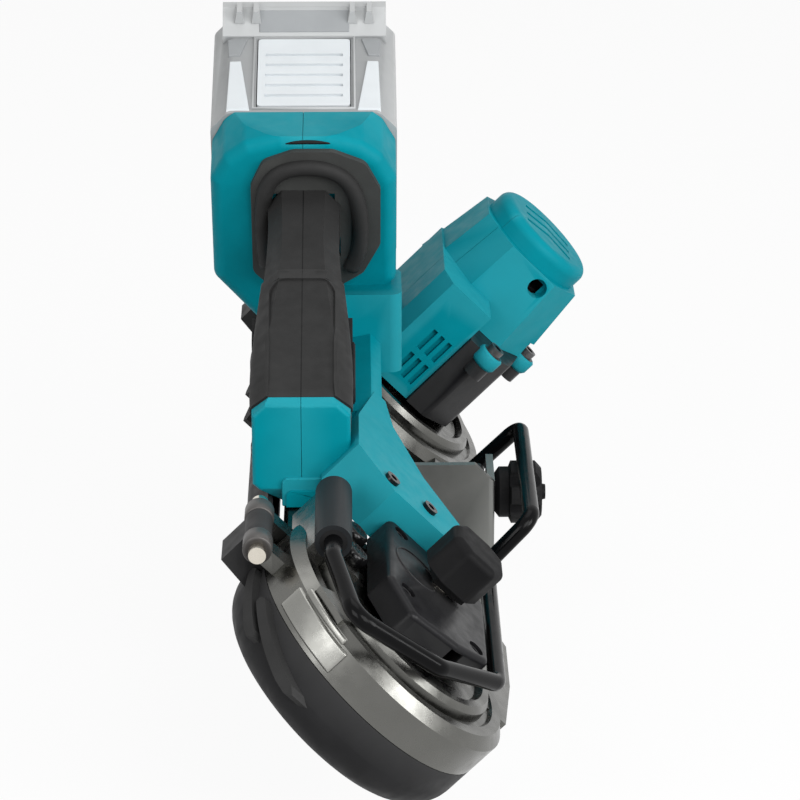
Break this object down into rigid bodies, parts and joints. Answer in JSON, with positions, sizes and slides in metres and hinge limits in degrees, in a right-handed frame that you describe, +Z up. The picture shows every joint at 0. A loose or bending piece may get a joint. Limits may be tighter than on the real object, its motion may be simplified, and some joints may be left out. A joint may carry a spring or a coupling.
{
  "type": "portable band saw",
  "caption": "Cordless portable band saw: twin-wheel frame with hinged cover, blade in roller guides, stop plate, D-shaped handle with trigger, sloping motor, battery and folding hook.",
  "frame": {"origin": "middle of the bounding box's bottom, under the stop plate's lower edge", "axes": "+Y from the idler wheel (front) to the drive wheel (rear), +Z up with the blade's cutting run upright, +X towards the blade's throat"},
  "size_m": [0.1578, 0.3656, 0.2622],
  "materials": {
    "frame_silver": "cast, satin",
    "cover_grey": "satin",
    "rubber_black": "matte",
    "bright_steel": "bright",
    "dark_steel": "oiled",
    "zinc_steel": "zinc plated",
    "case_black": "coated, satin black",
    "plastic_black": "satin",
    "hook_black": "gloss black",
    "teal": "satin",
    "pack_grey": "satin",
    "pack_white": "satin",
    "copper_iron": "lacquered",
    "board_dark": "potted",
    "cell_wrap": "shrink wrapped",
    "barrel_grey": "phosphated, dark grey",
    "fan_plastic": "moulded"
  },
  "bodies": {
    "base": {"main_frame": "frame_silver", "hinge_pins": "bright_steel", "drive_bearings": "bright_steel", "gear_case": "case_black", "gear_case_screws": "dark_steel", "motor_housing_front": "teal", "motor_housing_rear": "teal", "stator": "copper_iron", "motor_bearings": "bright_steel", "tension_box": "case_black", "tension_box_screws": "dark_steel", "tension_spring": "bright_steel", "blade": "zinc_steel", "front_guide": "dark_steel", "rear_guide": "dark_steel", "hook_bush": "plastic_black", "barrel_bolts": "dark_steel", "hook_barrel": "barrel_grey", "stop_bracket": "case_black", "handle_left": "teal", "handle_right": "teal", "grip_rubber": "rubber_black", "grip_collar": "plastic_black", "switch_unit": "plastic_black", "control_board": "board_dark", "terminal_block": "plastic_black", "handle_screws": "dark_steel"},
    "cover": {"wheel_cover": "cover_grey", "bumper_front": "rubber_black", "bumper_rear": "rubber_black"},
    "drive": {"drive_wheel": "frame_silver", "drive_tyre": "rubber_black", "drive_shaft": "bright_steel", "drive_gear": "dark_steel", "drive_bolt": "dark_steel"},
    "motor": {"rotor": "dark_steel", "fan": "fan_plastic", "motor_pinion": "dark_steel"},
    "lever": {"tension_lever": "plastic_black", "tension_cam": "bright_steel"},
    "carriage": {"idler_carriage": "dark_steel", "idler_axle": "bright_steel", "idler_bolt": "dark_steel"},
    "idler": {"idler_wheel": "frame_silver", "idler_tyre": "rubber_black", "idler_bearing": "bright_steel"},
    "front_roller_left": {"front_roller_left": "bright_steel"},
    "front_roller_right": {"front_roller_right": "bright_steel"},
    "front_roller_back": {"front_roller_back": "bright_steel"},
    "rear_roller_left": {"rear_roller_left": "bright_steel"},
    "rear_roller_right": {"rear_roller_right": "bright_steel"},
    "rear_roller_back": {"rear_roller_back": "bright_steel"},
    "hook": {"hook": "hook_black"},
    "stop_plate": {"stop_plate": "zinc_steel"},
    "stop_knob": {"stop_knob": "plastic_black"},
    "trigger": {"trigger": "plastic_black"},
    "lock_button": {"lock_button": "plastic_black"},
    "battery": {"battery_case": "pack_grey", "battery_cells": "cell_wrap"},
    "battery_button": {"battery_button": "pack_white"}
  },
  "joints": [
    {"name": "cover_hinge", "type": "hinge", "parent": "base", "child": "cover", "pos_m": [-0.05586, 0, 0.13314], "axis": [0, 1, 0], "range_deg": [0, 95]},
    {"name": "drive_spin", "type": "hinge", "parent": "base", "child": "drive", "pos_m": [-0.0152, 0.126, 0.084], "axis": [0.7071, 0, 0.7071], "continuous": true},
    {"name": "motor_spin", "type": "hinge", "parent": "base", "child": "motor", "pos_m": [-0.01183, 0.15054, 0.08063], "axis": [0.7071, 0, 0.7071], "continuous": true},
    {"name": "tension_turn", "type": "hinge", "parent": "base", "child": "lever", "pos_m": [0.00884, -0.107, 0.10239], "axis": [0.7071, 0, 0.7071], "range_deg": [0, 188]},
    {"name": "idler_slide", "type": "slide", "parent": "base", "child": "carriage", "axis": [0, 1, 0], "range_m": [0, 0.003], "deforming": ["tension_spring"]},
    {"name": "idler_spin", "type": "hinge", "parent": "carriage", "child": "idler", "pos_m": [-0.0152, -0.126, 0.084], "axis": [0.7071, 0, 0.7071], "continuous": true},
    {"name": "front_roller_left_spin", "type": "hinge", "parent": "base", "child": "front_roller_left", "pos_m": [0.00638, -0.055, 0.04504], "axis": [0, 0, 1], "continuous": true},
    {"name": "front_roller_right_spin", "type": "hinge", "parent": "base", "child": "front_roller_right", "pos_m": [0.01568, -0.055, 0.04504], "axis": [0, 0, 1], "continuous": true},
    {"name": "front_roller_back_spin", "type": "hinge", "parent": "base", "child": "front_roller_back", "pos_m": [0.01103, -0.055, 0.05524], "axis": [1, 0, 0], "continuous": true},
    {"name": "rear_roller_left_spin", "type": "hinge", "parent": "base", "child": "rear_roller_left", "pos_m": [0.00638, 0.034, 0.04504], "axis": [0, 0, 1], "continuous": true},
    {"name": "rear_roller_right_spin", "type": "hinge", "parent": "base", "child": "rear_roller_right", "pos_m": [0.01568, 0.034, 0.04504], "axis": [0, 0, 1], "continuous": true},
    {"name": "rear_roller_back_spin", "type": "hinge", "parent": "base", "child": "rear_roller_back", "pos_m": [0.01103, 0.034, 0.05524], "axis": [1, 0, 0], "continuous": true},
    {"name": "hook_swing", "type": "hinge", "parent": "base", "child": "hook", "pos_m": [-0.02864, -0.134, 0.1342], "axis": [0, -1, 0], "range_deg": [0, 85]},
    {"name": "stop_slide", "type": "slide", "parent": "base", "child": "stop_plate", "axis": [0, 0, 1], "range_m": [-0.006, 0]},
    {"name": "stop_knob_turn", "type": "hinge", "parent": "base", "child": "stop_knob", "pos_m": [0.0348, 0.035, 0.082], "axis": [1, 0, 0], "range_deg": [-360, 0]},
    {"name": "trigger_press", "type": "slide", "parent": "base", "child": "trigger", "axis": [0, -0.342, 0.9397], "range_m": [0, 0.006], "stiffness_N_per_m": 400, "springref_m": -0.003},
    {"name": "lock_press", "type": "slide", "parent": "base", "child": "lock_button", "axis": [1, 0, 0], "range_m": [-0.003, 0.003], "stiffness_N_per_m": 300},
    {"name": "battery_slide", "type": "slide", "parent": "base", "child": "battery", "axis": [0, -0.342, 0.9397], "range_m": [0, 0.1]},
    {"name": "release_press", "type": "slide", "parent": "battery", "child": "battery_button", "axis": [0, 0.342, -0.9397], "range_m": [0, 0.003], "stiffness_N_per_m": 500, "springref_m": -0.002}
  ],
  "couplings": [
    {"joint": "motor_spin", "follows": "drive_spin", "ratio": -2.5714},
    {"joint": "tension_turn", "follows": "idler_slide", "rad_per_m": 1047.2},
    {"joint": "idler_spin", "follows": "drive_spin", "ratio": 1},
    {"joint": "front_roller_left_spin", "follows": "drive_spin", "ratio": 10.976},
    {"joint": "front_roller_right_spin", "follows": "drive_spin", "ratio": -10.976},
    {"joint": "front_roller_back_spin", "follows": "drive_spin", "ratio": 13.171},
    {"joint": "rear_roller_left_spin", "follows": "drive_spin", "ratio": 10.976},
    {"joint": "rear_roller_right_spin", "follows": "drive_spin", "ratio": -10.976},
    {"joint": "rear_roller_back_spin", "follows": "drive_spin", "ratio": 13.171}
  ]
}
